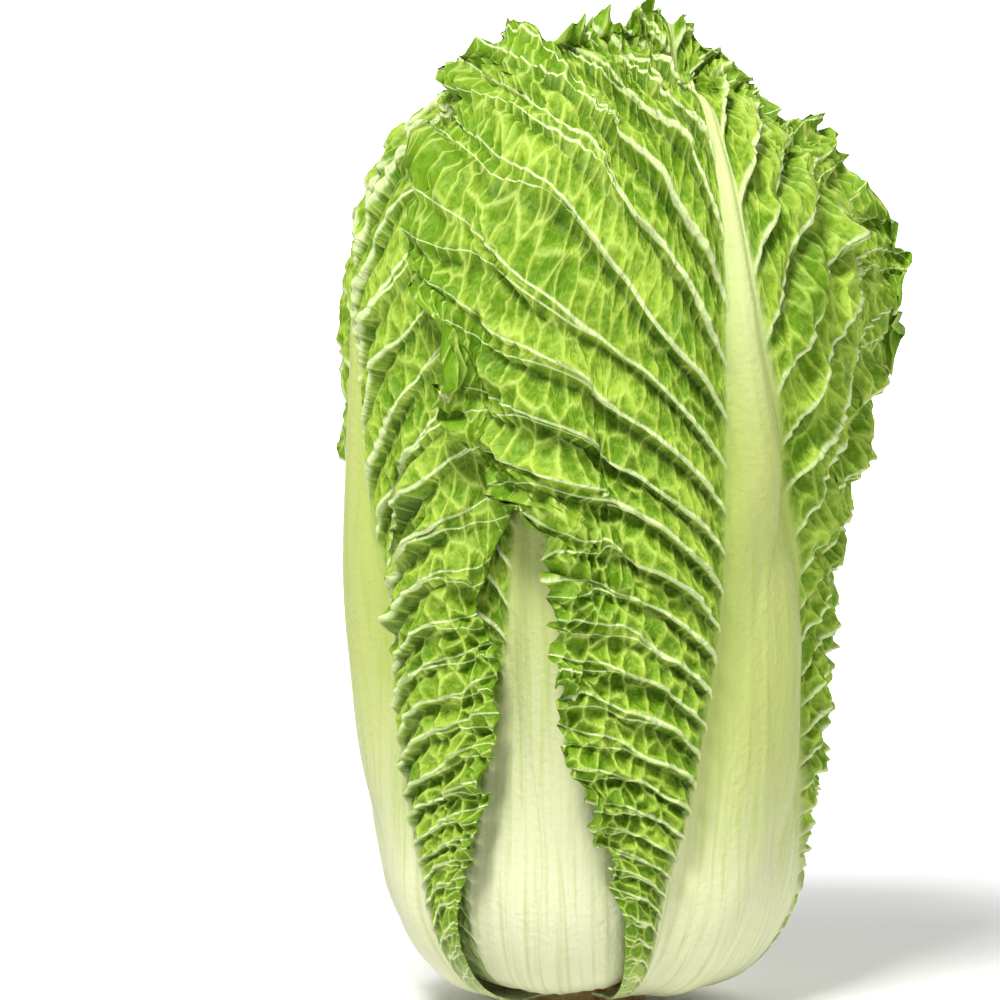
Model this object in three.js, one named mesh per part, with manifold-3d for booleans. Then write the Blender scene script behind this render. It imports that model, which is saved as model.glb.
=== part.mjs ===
// A head of napa cabbage, standing on its cut stem. Millimetres, +Z up, azimuth 0 faces -Y and
// grows towards +X. The origin is the centre of the stem's cut face.
//
// Eight loose outer leaves wrap a dense heart. Every leaf is drawn on its own flat plan first: x runs
// across it from the midrib and y runs up it from the stem. The plan is then wrapped round one head
// profile, and each leaf is lifted clear of the leaves that lie inside it.

import * as THREE from "three";
import { mergeVertices } from "three/addons/utils/BufferGeometryUtils.js";
import Module from "manifold-3d";

// Driving dimensions
const STEM_RADIUS = 18;
const STEM_HEIGHT = 13;
const HEAD_LEAN = 9; // how far the top of the head stands to +X of its foot
const LEAN_HEIGHTS = [110, 230];

const BLADE_THICKNESS = 1.1;
const BLADE_ROOM = 4.9; // the depth that one layer of blade takes in the head
const FOOT_ROOM = 2.7; // the same at the very foot of the leaves, where they crowd the stem
const FOOT_HEIGHTS = [5, 45]; // between these, along a leaf, the one depth passes into the other
const PETIOLE_SPREAD = 1.4; // how much wider than a petiole the hump is that it makes in the leaf above
const EDGE_FADE = 17; // how far past a leaf's margin the leaf above takes to settle
const TIGHTEST_WRAP = 26; // leaves fold over the top of the head no tighter than this
const DRIFT_HEIGHTS = [100, 235]; // a midrib drifts round the head between these, along a leaf

const FIRST_VEIN = 20;
const LAST_VEIN = 296;
const VEIN_SPACING = 8.5; // at the foot of a leaf
const VEIN_SPREAD = 0.05; // how much the spacing grows with each millimetre up the midrib
const VEIN_BEND = { out: 0.42, up: 0.72 }; // a vein climbs first and turns out later, as shares of its reach

const PLEAT_UNDER = 0.8; // height of the pleats where another leaf lies on them
const PLEAT_FREE = 2.2; // further height where nothing does
const RUFFLE = 3; // how far a free margin stands off, at most
const RUFFLE_LENGTH = 27;
const FLARE_LENGTH = 16; // half the length of a margin that curls right off the head
const TOOTH = 0.07; // how far the margin wanders in and out, as a share of the leaf's width
const LAYER = 2; // how much further out each leaf's plan is laid round the head, for its width
const CREST_HEIGHTS = [246, 302]; // the top of an outer leaf stands up off the head between these
const SKEW_HEIGHTS = [190, 300]; // and one side of it grows higher than the other

// The head that the outer leaves wrap, from the stem out, up and over: radius and height.
const HEAD_PROFILE = [
  [20.5, 15],
  [32, 15],
  [40, 20],
  [44.5, 32],
  [46, 50],
  [49, 78],
  [51.5, 112],
  [55, 150],
  [59.4, 188],
  [61.2, 207],
  [58.8, 228],
  [51, 245],
  [41, 259],
  [32, 271],
  [26, 285],
];

// The plan of an outer leaf. Each row is a place up the midrib, the petiole's half width there, its
// thickness, and where the vein that starts there meets the margin: how far out and how far up.
const LEAF_LENGTH = 300;
const LEAF_PLAN = [
  [0, 22, 3, 6, 2],
  [15, 27, 5, 11, 5],
  [27, 30, 7.5, 14, 8],
  [40, 30.5, 9, 21, 11],
  [62, 27, 9, 36, 16],
  [85, 23.5, 8.6, 47, 24],
  [110, 20, 8, 59, 36],
  [140, 15.5, 7.4, 78, 54],
  [165, 11.5, 6.4, 84, 68],
  [190, 7.4, 5, 67, 70],
  [215, 4.3, 3.6, 47, 60],
  [240, 2.6, 2.6, 29, 45],
  [265, 1.7, 2, 16, 29],
  [288, 1.2, 1.6, 7, 14],
  [300, 1, 1.3, 4, 3],
];

// From the outermost leaf in. Successive leaves stand about 137.5 degrees apart round the stem.
const OUTER_LEAVES = [
  {
    azimuth: 50, drift: -27, length: 0.985, width: 1, petiole: 1, seed: 1.7,
    flare: { side: 1, at: 160, by: 8 }, crest: 10, skew: 0.27,
  },
  { azimuth: -76, drift: -3, length: 0.97, width: 0.86, petiole: 0.92, seed: 4.1, crest: 9 },
  { azimuth: 132, drift: 8, length: 0.96, width: 1, petiole: 1, seed: 2.9, crest: 5 },
  { azimuth: -7, drift: -14, length: 0.95, width: 0.9, petiole: 0.92, seed: 5.3 },
  { azimuth: -146, drift: 6, length: 0.95, width: 0.95, petiole: 0.95, seed: 0.6 },
  { azimuth: 84, drift: -4, length: 0.95, width: 0.85, petiole: 0.8, seed: 3.4, hidden: true },
  { azimuth: -44, drift: 5, length: 0.94, width: 0.85, petiole: 0.75, seed: 6.2, hidden: true },
  { azimuth: 174, drift: -6, length: 0.93, width: 0.85, petiole: 0.8, seed: 1.1, hidden: true },
];

const COLOURS = {
  blade: 0x8eac3f,
  heart: 0xc9cf7a,
  stem: 0xb49155,
};

const { degToRad, smoothstep } = THREE.MathUtils;

// A smooth value read from rows of [x, value, value, ...]
function readTable(rows, column) {
  const xs = rows.map((row) => row[0]);
  const values = rows.map((row) => row[column]);
  const last = xs.length - 1;
  const slopes = xs.map((x, i) => {
    const a = Math.max(i - 1, 0);
    const b = Math.min(i + 1, last);
    return (values[b] - values[a]) / (xs[b] - xs[a]);
  });
  return (x) => {
    let i = 0;
    while (i < last - 1 && x > xs[i + 1]) i += 1;
    const step = xs[i + 1] - xs[i];
    const t = (x - xs[i]) / step;
    if (t < 0) return values[i] + slopes[i] * (x - xs[i]);
    if (t > 1) return values[i + 1] + slopes[i + 1] * (x - xs[i + 1]);
    const rise = values[i + 1] - values[i];
    return (
      values[i] +
      t * (step * slopes[i] + t * (3 * rise - step * (2 * slopes[i] + slopes[i + 1]))) +
      t * t * t * (step * (slopes[i] + slopes[i + 1]) - 2 * rise)
    );
  };
}

// Radius, height and outward direction at a length along a profile
function profileReader(points) {
  let length = 0;
  const rows = points.map(([radius, height], i) => {
    if (i > 0) length += Math.hypot(radius - points[i - 1][0], height - points[i - 1][1]);
    return [length, radius, height];
  });
  const radiusAt = readTable(rows, 1);
  const heightAt = readTable(rows, 2);
  const step = 0.5;
  return (y) => {
    const along = new THREE.Vector2(
      radiusAt(y + step) - radiusAt(y - step),
      heightAt(y + step) - heightAt(y - step),
    ).normalize();
    return { radius: radiusAt(y), height: heightAt(y), out: new THREE.Vector2(along.y, -along.x) };
  };
}

const headProfile = profileReader(HEAD_PROFILE);
const petioleHalfWidth = readTable(LEAF_PLAN, 1);
const petioleThickness = readTable(LEAF_PLAN, 2);
const marginOut = readTable(LEAF_PLAN, 3);
const marginUp = readTable(LEAF_PLAN, 4);
const leafHalfWidth = readTable(
  LEAF_PLAN.map(([y, petiole, , out, up]) => [y + up, petiole + out]),
  1,
);

// A leaf's midrib drifts sideways as it climbs.
function midribAzimuth(leaf, y) {
  return degToRad(leaf.azimuth + leaf.drift * smoothstep(y, ...DRIFT_HEIGHTS));
}

// A sheet's point in space: turned to an angle round the axis, set aside by an arc, lifted off a profile
function roundTheAxis(angle, arc, at, lift, shift) {
  const radius = at.radius + at.out.x * lift;
  const wrap = Math.max(radius, TIGHTEST_WRAP);
  const turn = arc / wrap;
  const out = radius - wrap + wrap * Math.cos(turn);
  const aside = wrap * Math.sin(turn);
  return new THREE.Vector3(
    out * Math.sin(angle) + aside * Math.cos(angle) + shift,
    aside * Math.sin(angle) - out * Math.cos(angle),
    at.height + at.out.y * lift,
  );
}

// One place on the head: the midrib's angle, the angle from it, the length up the profile, and the lift
function onHead(angle, across, y, lift) {
  const at = headProfile(y);
  const wrap = Math.max(at.radius + at.out.x * lift, TIGHTEST_WRAP);
  const lean = HEAD_LEAN * smoothstep(at.height + at.out.y * lift, ...LEAN_HEIGHTS);
  return roundTheAxis(angle, across * wrap, at, lift, lean);
}

// The radius at which a leaf's plan is laid round the head, so that its width keeps its real length
function wrapRadius(leaf, y) {
  const layers = OUTER_LEAVES.length - OUTER_LEAVES.indexOf(leaf);
  return Math.max(headProfile(y).radius + LAYER * layers, TIGHTEST_WRAP);
}

// Where an angle and a length up the head fall on a leaf's plan, in units of the nominal leaf
function toPlan(leaf, angle, y) {
  const turn = angle - midribAzimuth(leaf, y);
  const nearest = turn - 2 * Math.PI * Math.round(turn / (2 * Math.PI));
  return { x: Math.abs(nearest) * wrapRadius(leaf, y), y: y / leaf.length };
}

// 1 under a leaf's blade, falling to 0 a little past its margin
function cover(leaf, angle, y) {
  const plan = toPlan(leaf, angle, y);
  const half = leafHalfWidth(plan.y) * leaf.width * (1 + TOOTH) + 1;
  const beside = 1 - smoothstep(plan.x, half, half + EDGE_FADE);
  const past = LEAF_LENGTH + marginUp(LEAF_LENGTH);
  return beside * (1 - smoothstep(plan.y, past, past + EDGE_FADE));
}

// The room that a leaf takes up between the leaves inside and outside it
function room(leaf, angle, y) {
  const plan = toPlan(leaf, angle, y);
  const reach = petioleHalfWidth(plan.y) * leaf.petiole * PETIOLE_SPREAD;
  const hump = Math.max(0, 1 - (plan.x / reach) ** 2) ** 1.5;
  const petiole = petioleThickness(plan.y) * leaf.petiole * hump;
  const blade = FOOT_ROOM + (BLADE_ROOM - FOOT_ROOM) * smoothstep(y, ...FOOT_HEIGHTS);
  return petiole + blade * cover(leaf, angle, y);
}

// How far a leaf is lifted by those inside it
function liftOf(index, angle, y) {
  let lift = 0;
  for (const inner of OUTER_LEAVES.slice(index + 1)) lift += room(inner, angle, y);
  return lift;
}

// 1 where no leaf lies over this one
function bareness(index, angle, y) {
  let bare = 1;
  for (const outer of OUTER_LEAVES.slice(0, index)) bare *= 1 - cover(outer, angle, y);
  return bare;
}

// The places up the midrib where veins leave it
function veinStarts() {
  const starts = [];
  for (let y = FIRST_VEIN; y < LAST_VEIN; y += VEIN_SPACING + VEIN_SPREAD * y) starts.push(y);
  return starts;
}

// Rows of a leaf's grid: on each vein and midway to the next, from the stem to the tip
function leafRows(every) {
  const starts = [0, FIRST_VEIN / 2, ...veinStarts(), LEAF_LENGTH];
  const rows = [];
  starts.forEach((y, i) => {
    rows.push(y);
    const isVein = i > 1 && i < starts.length - 2;
    if (isVein) rows.push((y + starts[i + 1]) / 2);
  });
  return rows.filter((y, i) => i % every === 0 || i === rows.length - 1);
}

// Columns of a leaf's grid, from its left margin to its right one. Past -1 and 1 they are on the blade.
function bothSides(rightHalf) {
  return [...rightHalf.map((c) => -c).reverse(), 0, ...rightHalf];
}
const COLUMNS = bothSides([0.55, 1, 1.23, 1.44, 1.64, 1.83, 2]);
const HIDDEN_COLUMNS = bothSides([1, 1.3, 1.55, 1.78, 2]);

// How far a margin wanders, from -1 to 1: short teeth on long lobes
function marginWave(start, side, seed) {
  const teeth = Math.sin(start * 1.9 + seed * side);
  const lobes = Math.sin(start * 0.47 + seed);
  return 0.6 * teeth + 0.4 * lobes;
}

// How far a pleat swells out, from 0 at the petiole's edge through 1 to little at the margin
function pleatSwell(along) {
  const rise = Math.min(1, along * 8);
  return rise * Math.sin(Math.PI * Math.min(1, 0.12 + 0.8 * along));
}

// A place on the plan. A blade column follows its row's vein out from the petiole to the margin.
function onPlan(leaf, start, column) {
  const side = Math.sign(column);
  const half = petioleHalfWidth(start) * leaf.petiole;
  const along = Math.abs(column) - 1;
  if (along <= 0) return { x: column * half, y: start, along: 0, side };
  const tooth = marginWave(start, side, leaf.seed);
  const out = marginOut(start) * leaf.width * (1 + TOOTH * tooth * along);
  const up = marginUp(start);
  const bend = 2 * (1 - along) * along;
  const x = half + (bend * VEIN_BEND.out + along * along) * out;
  const y = start + (bend * VEIN_BEND.up + along * along) * up;
  return { x: x * side, y, along, side };
}

// One corner of a leaf's solid. Face 1 is the outer one, and face 0 the one towards the heart.
function leafPoint(leaf, index, row, start, column, face) {
  const plan = onPlan(leaf, start, column);
  const skew = (leaf.skew ?? 0) * plan.x * smoothstep(plan.y, ...SKEW_HEIGHTS);
  const y = (plan.y - skew) * leaf.length;
  const across = plan.x / wrapRadius(leaf, y);
  const angle = midribAzimuth(leaf, y);
  const bare = bareness(index, angle + across, y);
  const onVein = (row + (plan.side > 0 ? 1 : 0)) % 2;
  const pleat = onVein * pleatSwell(plan.along) * (PLEAT_UNDER + PLEAT_FREE * bare);
  const wave = 0.5 + 0.5 * Math.sin((start * 2 * Math.PI) / RUFFLE_LENGTH + leaf.seed * 2 + plan.side);
  let ruffle = RUFFLE * bare * plan.along ** 3 * wave;
  if (leaf.flare && leaf.flare.side === plan.side) {
    const near = Math.exp(-(((start - leaf.flare.at) / FLARE_LENGTH) ** 2));
    ruffle += leaf.flare.by * near * plan.along ** 3;
  }
  const crest = (leaf.crest ?? 0) * smoothstep(y, ...CREST_HEIGHTS);
  const half = petioleHalfWidth(start) * leaf.petiole;
  const dome = Math.max(0, 1 - (plan.x / half) ** 2) * petioleThickness(start) * leaf.petiole;
  const thickness = face * Math.max(BLADE_THICKNESS, plan.along > 0 ? 0 : dome);
  const lift = liftOf(index, angle + across, y) + crest + pleat + ruffle + thickness;
  return onHead(angle, across, y, lift);
}

// A closed sheet: an outer and an inner grid of corners, both split alike, and a rim that joins them
function sheetGeometry(rowCount, columnCount, cornerAt) {
  const positions = [];
  const faces = [];
  const id = (row, column, face) => (face * rowCount + row) * columnCount + column;
  for (const face of [0, 1])
    for (let row = 0; row < rowCount; row += 1)
      for (let column = 0; column < columnCount; column += 1)
        positions.push(...cornerAt(row, column, face).toArray());
  const quad = (a, b, c, d) => faces.push(a, b, d, b, c, d);
  for (let row = 0; row < rowCount - 1; row += 1)
    for (let column = 0; column < columnCount - 1; column += 1) {
      const corners = [
        [row, column],
        [row, column + 1],
        [row + 1, column + 1],
        [row + 1, column],
      ];
      if (column < (columnCount - 1) / 2) corners.push(corners.shift());
      const [a, b, c, d] = corners.map(([r, k]) => id(r, k, 1));
      quad(a, b, c, d);
      const [e, f, g, h] = corners.map(([r, k]) => id(r, k, 0));
      quad(e, h, g, f);
    }
  const rim = [];
  for (let column = 0; column < columnCount - 1; column += 1) rim.push([0, column]);
  for (let row = 0; row < rowCount - 1; row += 1) rim.push([row, columnCount - 1]);
  for (let column = columnCount - 1; column > 0; column -= 1) rim.push([rowCount - 1, column]);
  for (let row = rowCount - 1; row > 0; row -= 1) rim.push([row, 0]);
  rim.forEach(([row, column], i) => {
    const [nextRow, nextColumn] = rim[(i + 1) % rim.length];
    quad(id(row, column, 0), id(nextRow, nextColumn, 0), id(nextRow, nextColumn, 1), id(row, column, 1));
  });
  const geometry = new THREE.BufferGeometry();
  geometry.setAttribute("position", new THREE.Float32BufferAttribute(positions, 3));
  geometry.setIndex(faces);
  return geometry;
}

function outerLeaf(leaf, index) {
  const rows = leafRows(leaf.hidden ? 2 : 1);
  const columns = leaf.hidden ? HIDDEN_COLUMNS : COLUMNS;
  return sheetGeometry(rows.length, columns.length, (row, column, face) =>
    leafPoint(leaf, index, row, rows[row], columns[column], face),
  );
}

// The stem's stub: a short cylinder, cut flat below
function stemGeometry() {
  const side = [
    [0, 0],
    [STEM_RADIUS - 1.5, 0],
    [STEM_RADIUS, 1.6],
    [STEM_RADIUS - 0.6, STEM_HEIGHT / 2],
    [STEM_RADIUS, STEM_HEIGHT - 1],
    [STEM_RADIUS - 1, STEM_HEIGHT],
    [0, STEM_HEIGHT],
  ];
  const lathe = new THREE.LatheGeometry(side.map(([r, z]) => new THREE.Vector2(r, z)), 28);
  return lathe.rotateX(Math.PI / 2);
}

// The heart: the packed inner leaves. Its body is a solid barrel, and the tips of its outermost
// leaves fold over its top, each over the next.
const HEART_GAP = 2.2;
const HEART_FOOT = 18;
const HEART_TOP = [
  [53, 226],
  [45, 240],
  [33, 250],
  [19, 256],
  [0, 258],
];
const HEART_LEAVES = 6;
const HEART_LEAF_LAYER = 2.4;
const HEART_LEAF_REACH = 88; // along its path, from where it leaves the barrel to its tip
const HEART_LEAF_HALF_WIDTH = 46;
const HEART_LEAF_RUFFLE = 2.6;
const HEART_LEAF_ROWS = 9;
const HEART_LEAF_COLUMNS = 11;
const HEART_LEAF_RIB = 1.5; // how much its midrib adds to its thickness, where it leaves the barrel
const HEART_LEAF_TOOTH = 2.5;
const FIRST_HEART_LEAF = -100;
const LEAF_TURN = -137.5; // from each leaf to the next, round the stem
const HEART_LEAF_PATH = [
  [51, 202],
  [49, 228],
  [41, 244],
  [28, 255],
  [13, 262],
  [-3, 264],
];

function heartBody() {
  const side = HEAD_PROFILE.filter(([r, z]) => z > HEART_FOOT && z < HEART_TOP[0][1] - 10);
  const waist = side.map(([r, z]) => [r - HEART_GAP, z + HEART_GAP]);
  const outline = [[0, HEART_FOOT], [28, HEART_FOOT], ...waist, ...HEART_TOP];
  const lathe = new THREE.LatheGeometry(outline.map(([r, z]) => new THREE.Vector2(r, z)), 32);
  lathe.rotateX(Math.PI / 2);
  const points = lathe.attributes.position;
  for (let i = 0; i < points.count; i += 1)
    points.setX(i, points.getX(i) + HEAD_LEAN * smoothstep(points.getZ(i), ...LEAN_HEIGHTS));
  return lathe;
}

function heartLeaf(index) {
  const path = profileReader(HEART_LEAF_PATH);
  const inward = (HEART_LEAVES - 1 - index) * HEART_LEAF_LAYER;
  const angle = degToRad(FIRST_HEART_LEAF + LEAF_TURN * index);
  return sheetGeometry(HEART_LEAF_ROWS, HEART_LEAF_COLUMNS, (row, column, face) => {
    const up = row / (HEART_LEAF_ROWS - 1);
    const across = (2 * column) / (HEART_LEAF_COLUMNS - 1) - 1;
    const outline = Math.sqrt(Math.max(0.05, 1 - up ** 4)) * (1 + 0.06 * Math.sin(row * 2.4 + index));
    const tooth = HEART_LEAF_TOOTH * up * Math.sin(column * 2.2 + index * 1.3);
    const y = HEART_LEAF_REACH * up * (1 - 0.1 * across * across) + tooth;
    const at = path(y);
    const ruffle = HEART_LEAF_RUFFLE * up ** 2 * (0.5 + 0.5 * Math.sin(column * 2.1 + index * 2));
    const rib = across === 0 ? HEART_LEAF_RIB * (1 - up) : 0;
    const lift = face * (BLADE_THICKNESS + rib) + ruffle - inward;
    return roundTheAxis(angle, across * HEART_LEAF_HALF_WIDTH * outline, at, lift, HEAD_LEAN);
  });
}

const MERGE_DISTANCE = 1e-3;
const wasm = await Module();
wasm.setup();

// A closed geometry as a solid that can be joined
function solidOf(geometry) {
  const bare = geometry.clone();
  for (const name of ["normal", "uv"]) bare.deleteAttribute(name);
  const merged = mergeVertices(bare, MERGE_DISTANCE);
  return new wasm.Manifold(
    new wasm.Mesh({
      numProp: 3,
      vertProperties: merged.attributes.position.array,
      triVerts: new Uint32Array(merged.index.array),
    }),
  );
}

function geometryOf(solid) {
  const mesh = solid.getMesh();
  const geometry = new THREE.BufferGeometry();
  geometry.setAttribute("position", new THREE.BufferAttribute(mesh.vertProperties, 3));
  geometry.setIndex(new THREE.BufferAttribute(mesh.triVerts, 1));
  return geometry;
}

function heartGeometry() {
  let heart = solidOf(heartBody());
  for (let i = 0; i < HEART_LEAVES; i += 1) heart = heart.add(solidOf(heartLeaf(i)));
  const [body] = heart.decompose().sort((a, b) => b.volume() - a.volume());
  return geometryOf(body);
}

const head = new THREE.Group();

function addPiece(name, geometry, color, roughness) {
  const material = new THREE.MeshStandardMaterial({ color, roughness, metalness: 0 });
  const mesh = new THREE.Mesh(geometry, material);
  mesh.name = name;
  head.add(mesh);
}

addPiece("cut_stem", stemGeometry(), COLOURS.stem, 0.85);
addPiece("heart", heartGeometry(), COLOURS.heart, 0.5);
OUTER_LEAVES.forEach((leaf, index) => {
  addPiece(`outer_leaf_${index + 1}`, outerLeaf(leaf, index), COLOURS.blade, 0.45);
});

export default head;
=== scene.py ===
# %% [markdown]
# # A head of napa cabbage
# The head stands on its cut stem. Broad pale stalks run up its lower half, and crinkled green blades
# with white branching veins wrap round it, leaf over leaf. The CAD model already has every leaf in its
# place. Here each leaf is made again with its veins, folds and frilled margin, and gets its colours.

# %% The frame from the CAD model
import math
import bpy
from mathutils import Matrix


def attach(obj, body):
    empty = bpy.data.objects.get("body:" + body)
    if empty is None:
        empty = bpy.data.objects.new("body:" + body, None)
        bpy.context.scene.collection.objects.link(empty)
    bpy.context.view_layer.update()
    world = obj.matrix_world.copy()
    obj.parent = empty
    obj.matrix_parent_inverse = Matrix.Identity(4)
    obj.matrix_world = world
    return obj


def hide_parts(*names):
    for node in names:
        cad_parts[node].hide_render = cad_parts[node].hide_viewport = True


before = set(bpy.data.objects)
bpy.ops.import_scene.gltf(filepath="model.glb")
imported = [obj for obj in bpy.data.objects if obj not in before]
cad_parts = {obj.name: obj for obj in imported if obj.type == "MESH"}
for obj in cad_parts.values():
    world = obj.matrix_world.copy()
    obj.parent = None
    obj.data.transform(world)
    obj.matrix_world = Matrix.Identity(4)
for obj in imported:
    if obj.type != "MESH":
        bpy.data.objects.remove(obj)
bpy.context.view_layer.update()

from types import SimpleNamespace

import bmesh
import bpy
import numpy as np
from mathutils import Vector

MM = 0.001

# %% [markdown]
# ## The shape that the leaves share
# A leaf of a tight head is hard to model by hand, because it has to lie on all the leaves inside it.
# It could be sculpted, or dropped on as cloth. Here it is worked out instead, as in the CAD model: the
# leaf is drawn flat, laid round one head profile, and lifted by the room that the inner leaves take.
# So every leaf nests in the next, and the fine mesh lands where the coarse one was.

# %% Curves through a few chosen points


def curve(places, values):
    """A smooth curve through the values, which goes on straight past both ends."""
    places = np.asarray(places, float)
    values = np.asarray(values, float)
    before = np.r_[0, np.arange(len(places) - 1)]
    after = np.r_[np.arange(1, len(places)), len(places) - 1]
    slopes = (values[after] - values[before]) / (places[after] - places[before])

    def at(x):
        x = np.asarray(x, float)
        i = np.clip(np.searchsorted(places, x, side="right") - 1, 0, len(places) - 2)
        step = places[i + 1] - places[i]
        t = np.clip((x - places[i]) / step, 0, 1)
        rise = values[i + 1] - values[i]
        inside = values[i] + t * (
            step * slopes[i] + t * (3 * rise - step * (2 * slopes[i] + slopes[i + 1]))
        ) + t**3 * (step * (slopes[i] + slopes[i + 1]) - 2 * rise)
        below = slopes[0] * np.minimum(x - places[0], 0)
        above = slopes[-1] * np.maximum(x - places[-1], 0)
        return inside + below + above

    return at


def smooth(x, low, high):
    """0 below low, 1 above high, and an even S between."""
    t = np.clip((np.asarray(x, float) - low) / (high - low), 0, 1)
    return t * t * (3 - 2 * t)


print("an S from 0 to 1:", smooth([0, 0.25, 0.5, 0.75, 1], 0, 1).tolist())

# %% The head's profile, from the stem out, up and over, in millimetres
HEAD_PROFILE = [
    (20.5, 15), (32, 15), (40, 20), (44.5, 32), (46, 50), (49, 78), (51.5, 112), (55, 150),
    (59.4, 188), (61.2, 207), (58.8, 228), (51, 245), (41, 259), (32, 271), (26, 285),
]
HEAD_LEAN = 9
LEAN_HEIGHTS = (110, 230)
TIGHTEST_WRAP = 26


def profile(points):
    """Radius, height and outward direction at a length along a profile."""
    points = np.array(points, float)
    length = np.r_[0, np.cumsum(np.hypot(*np.diff(points, axis=0).T))]
    radius_at = curve(length, points[:, 0])
    height_at = curve(length, points[:, 1])

    def at(y):
        step = 0.5
        dr = radius_at(y + step) - radius_at(y - step)
        dz = height_at(y + step) - height_at(y - step)
        size = np.hypot(dr, dz)
        return radius_at(y), height_at(y), dz / size, -dr / size

    return at


head_profile = profile(HEAD_PROFILE)
print("height of the profile's end", round(float(head_profile(300)[1]), 1), "mm")

# %% The plan of one outer leaf, in millimetres
# Up the midrib, the petiole's half width and thickness, and where the vein that starts there meets
# the margin: how far out from the petiole and how far up.
LEAF_LENGTH = 300
LEAF_PLAN = np.array([
    (0, 22, 3, 6, 2), (15, 27, 5, 11, 5), (27, 30, 7.5, 14, 8), (40, 30.5, 9, 21, 11),
    (62, 27, 9, 36, 16), (85, 23.5, 8.6, 47, 24), (110, 20, 8, 59, 36), (140, 15.5, 7.4, 78, 54),
    (165, 11.5, 6.4, 84, 68), (190, 7.4, 5, 67, 70), (215, 4.3, 3.6, 47, 60), (240, 2.6, 2.6, 29, 45),
    (265, 1.7, 2, 16, 29), (288, 1.2, 1.6, 7, 14), (300, 1, 1.3, 4, 3),
])
petiole_half_width, petiole_thickness, margin_out, margin_up = (
    curve(LEAF_PLAN[:, 0], LEAF_PLAN[:, column]) for column in (1, 2, 3, 4)
)
leaf_half_width = curve(LEAF_PLAN[:, 0] + LEAF_PLAN[:, 4], LEAF_PLAN[:, 1] + LEAF_PLAN[:, 3])
print("widest half of a flat leaf", round(float(leaf_half_width(np.arange(LEAF_LENGTH)).max())), "mm")

# %% [markdown]
# ## Eight leaves from one plan
# Leaves of one head differ less than they seem to, so all eight come from the same plan, each with a few
# numbers of its own. They stand about 137.5 degrees round from one another, as they grow. The azimuth is
# the place round the head, in degrees from the front, and the drift is how far the midrib leans aside
# towards its top. Length, width and petiole scale the plan, and the seed picks the leaf's random waves.
#
# Some leaves have more. A crest lets the tip stand off, by so many millimetres. A skew sets the top of
# the blade lower on its right. A flare is the height where the right margin turns outwards, and a lively
# leaf has deeper frills on its left. A notch is a side, a height and a share of the width by which the
# margin is drawn in there, so that the stalk behind shows. Greening is how green a stalk has become: one
# that has had less light stays pale further up.

# %% The eight outer leaves, from the outermost in
OUTER_LEAVES = [
    dict(azimuth=50, drift=-27, length=0.985, width=1, petiole=1, seed=1.7, flare=160, crest=10,
         skew=0.27, lively=0.7, notch=(-1, 108, 0.18)),
    dict(azimuth=-76, drift=-3, length=0.97, width=0.86, petiole=0.92, seed=4.1, crest=9,
         notch=(1, 104, 0.27), greening=0.8),
    dict(azimuth=132, drift=8, length=0.96, width=1, petiole=1, seed=2.9, crest=5),
    dict(azimuth=-7, drift=-14, length=0.95, width=0.9, petiole=0.92, seed=5.3, greening=0.6),
    dict(azimuth=-146, drift=6, length=0.95, width=0.95, petiole=0.95, seed=0.6),
    dict(azimuth=84, drift=-4, length=0.95, width=0.85, petiole=0.8, seed=3.4),
    dict(azimuth=-44, drift=5, length=0.94, width=0.85, petiole=0.75, seed=6.2),
    dict(azimuth=174, drift=-6, length=0.93, width=0.85, petiole=0.8, seed=1.1),
]
DRIFT_HEIGHTS = (100, 235)
LAYER = 2  # what each leaf adds to the radius that a plan is laid round
BLADE_ROOM = 4.9  # the room for a folded blade, which needs less at its foot
FOOT_ROOM = 2.7
FOOT_HEIGHTS = (5, 45)
PETIOLE_SPREAD = 1.4  # the leaf over a petiole bridges it, and bends this much more widely
STIFF_REACH = 14  # and over a thin midrib no more sharply than this
EDGE_FADE = 17  # over this distance a leaf comes down past the margin of one under it
TOOTH = 0.07  # how far teeth reach past the plan's margin, as a share
CREST_HEIGHTS = (246, 302)
SKEW_HEIGHTS = (190, 300)
NOTCH_WIDTH = 17
NO_NOTCH = (1, 0, 0)
NO_FLARE = -999
print("outer leaves:", len(OUTER_LEAVES))

# %% How the leaves lie on each other


def midrib_azimuth(leaf, y):
    return np.radians(leaf["azimuth"] + leaf["drift"] * smooth(y, *DRIFT_HEIGHTS))


def wrap_radius(leaf, y):
    """The radius at which a leaf's plan is laid round the head."""
    layers = len(OUTER_LEAVES) - OUTER_LEAVES.index(leaf)
    return np.maximum(head_profile(y)[0] + LAYER * layers, TIGHTEST_WRAP)


def distance_from_midrib(leaf, angle, y):
    turn = angle - midrib_azimuth(leaf, y)
    turn = turn - 2 * np.pi * np.round(turn / (2 * np.pi))
    return np.abs(turn) * wrap_radius(leaf, y)


def cover(leaf, angle, y):
    """1 under a leaf's blade, falling to 0 a little past its margin."""
    up = y / leaf["length"]
    half = leaf_half_width(up) * leaf["width"] * (1 + TOOTH) + 1
    beside = 1 - smooth(distance_from_midrib(leaf, angle, y), half, half + EDGE_FADE)
    end = LEAF_LENGTH + margin_up(LEAF_LENGTH)
    return beside * (1 - smooth(up, end, end + EDGE_FADE))


def room(leaf, angle, y):
    """The room that a leaf takes up between its neighbours."""
    up = y / leaf["length"]
    reach = np.maximum(petiole_half_width(up) * leaf["petiole"] * PETIOLE_SPREAD, STIFF_REACH)
    hump = np.maximum(0, 1 - (distance_from_midrib(leaf, angle, y) / reach) ** 2) ** 1.5
    petiole = petiole_thickness(up) * leaf["petiole"] * hump
    blade = FOOT_ROOM + (BLADE_ROOM - FOOT_ROOM) * smooth(y, *FOOT_HEIGHTS)
    return petiole + blade * cover(leaf, angle, y)


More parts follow.
